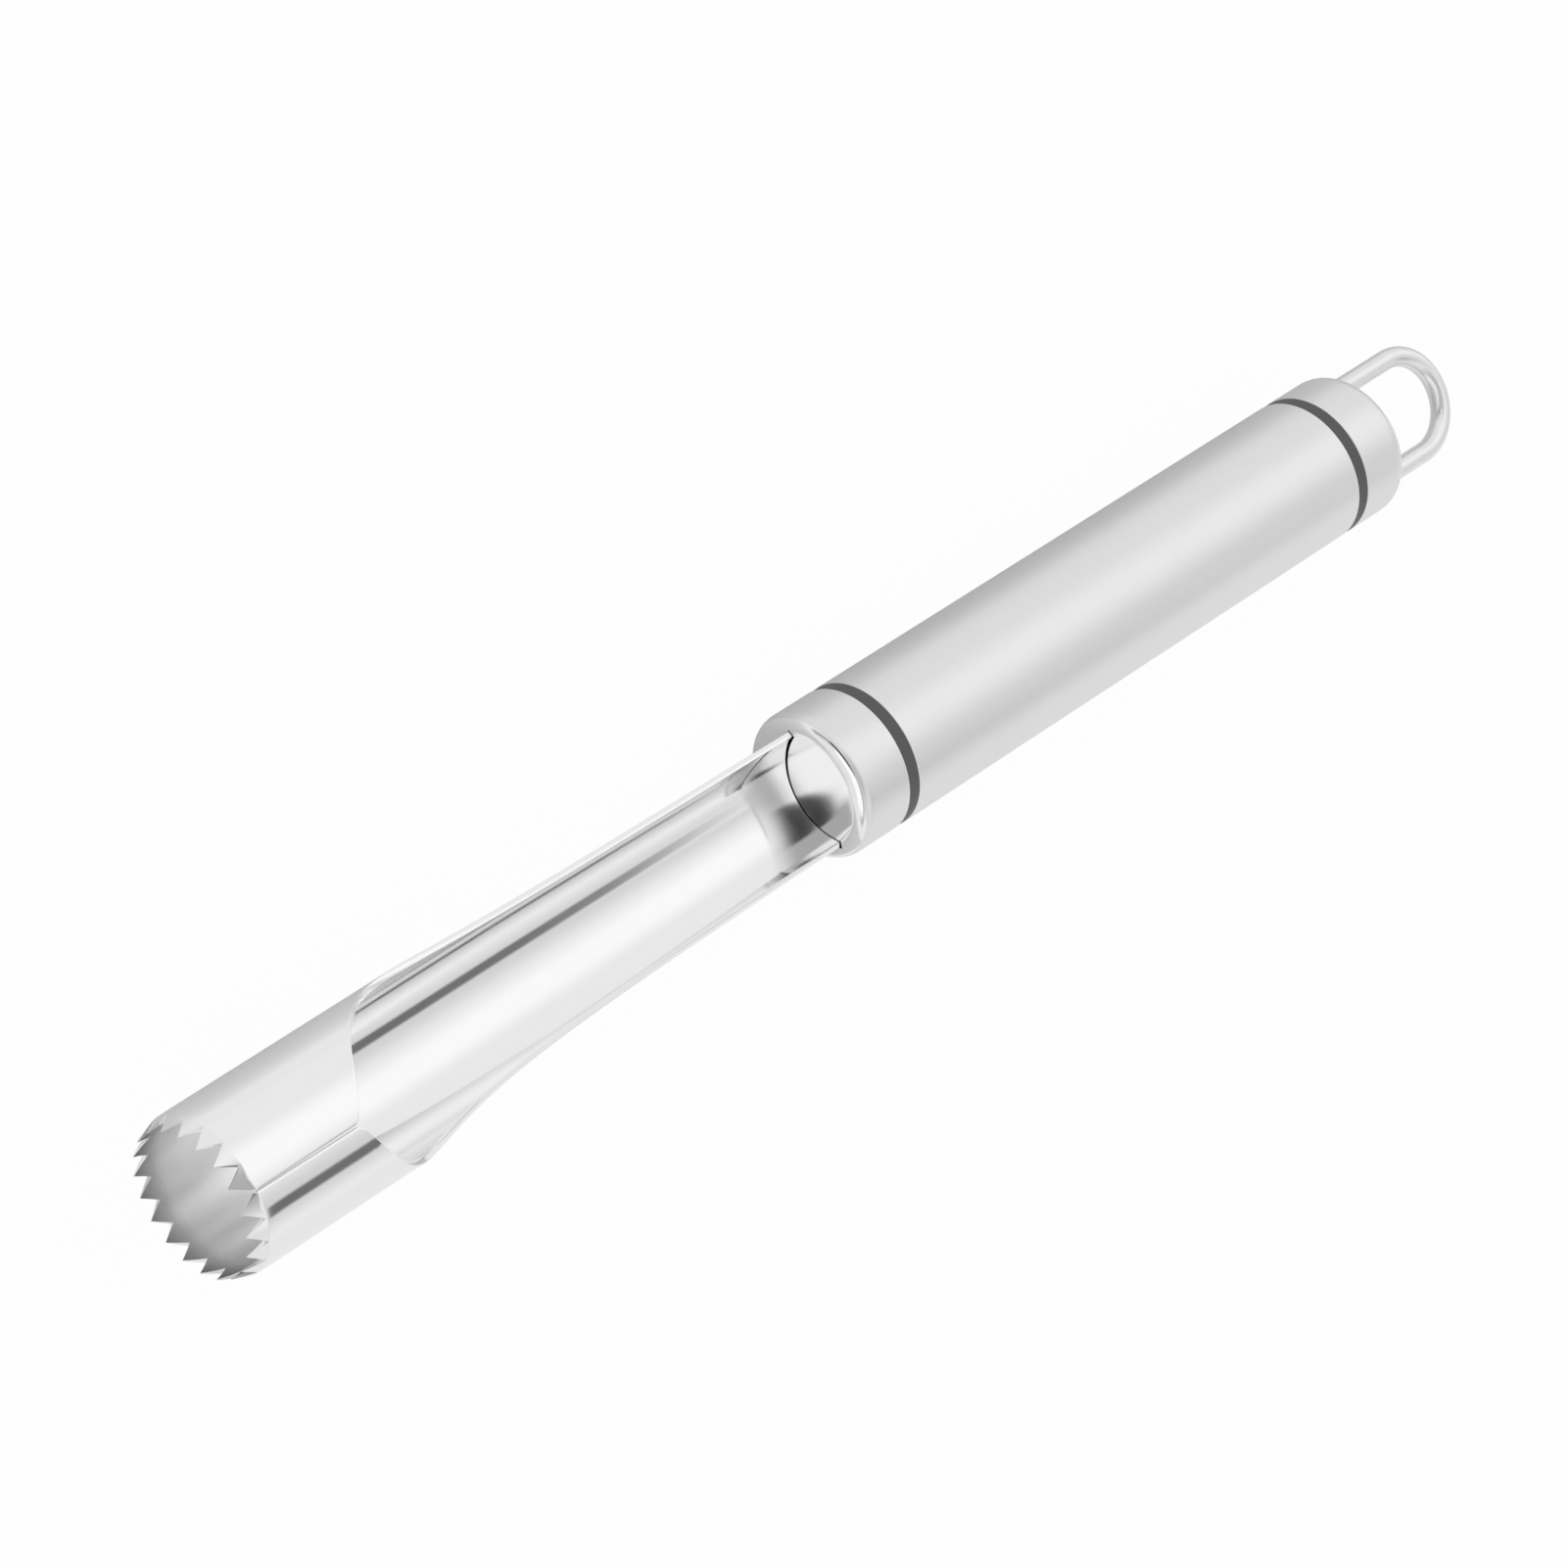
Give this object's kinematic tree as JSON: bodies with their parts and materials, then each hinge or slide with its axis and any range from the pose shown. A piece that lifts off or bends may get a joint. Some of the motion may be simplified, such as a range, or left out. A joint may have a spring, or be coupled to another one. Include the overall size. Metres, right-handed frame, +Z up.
{
  "type": "apple corer",
  "caption": "Apple corer: toothed steel tube with a seam that opens into a trough, set in a round brushed handle with dark rings and a wire hanging loop.",
  "frame": {"origin": "under the middle of the tool's length, on the surface that the handle lies on", "axes": "+X along the handle's axis from the teeth to the hanging loop, +Z up, the way the trough is open"},
  "size_m": [0.224, 0.02, 0.0271],
  "materials": {
    "brushed_steel": "satin, finely brushed",
    "polished_steel": "mirror-polished stainless steel",
    "ring_plastic": "matte dark grey",
    "core_plastic": "as moulded"
  },
  "bodies": {
    "root": {"corer_blade": "polished_steel", "front_cap": "brushed_steel", "front_ring": "ring_plastic", "front_insert": "core_plastic", "tang_pin": "polished_steel", "handle_tube": "brushed_steel", "rear_ring": "ring_plastic", "rear_insert": "core_plastic", "end_cap": "brushed_steel", "hanging_loop": "polished_steel"}
  },
  "joints": []
}
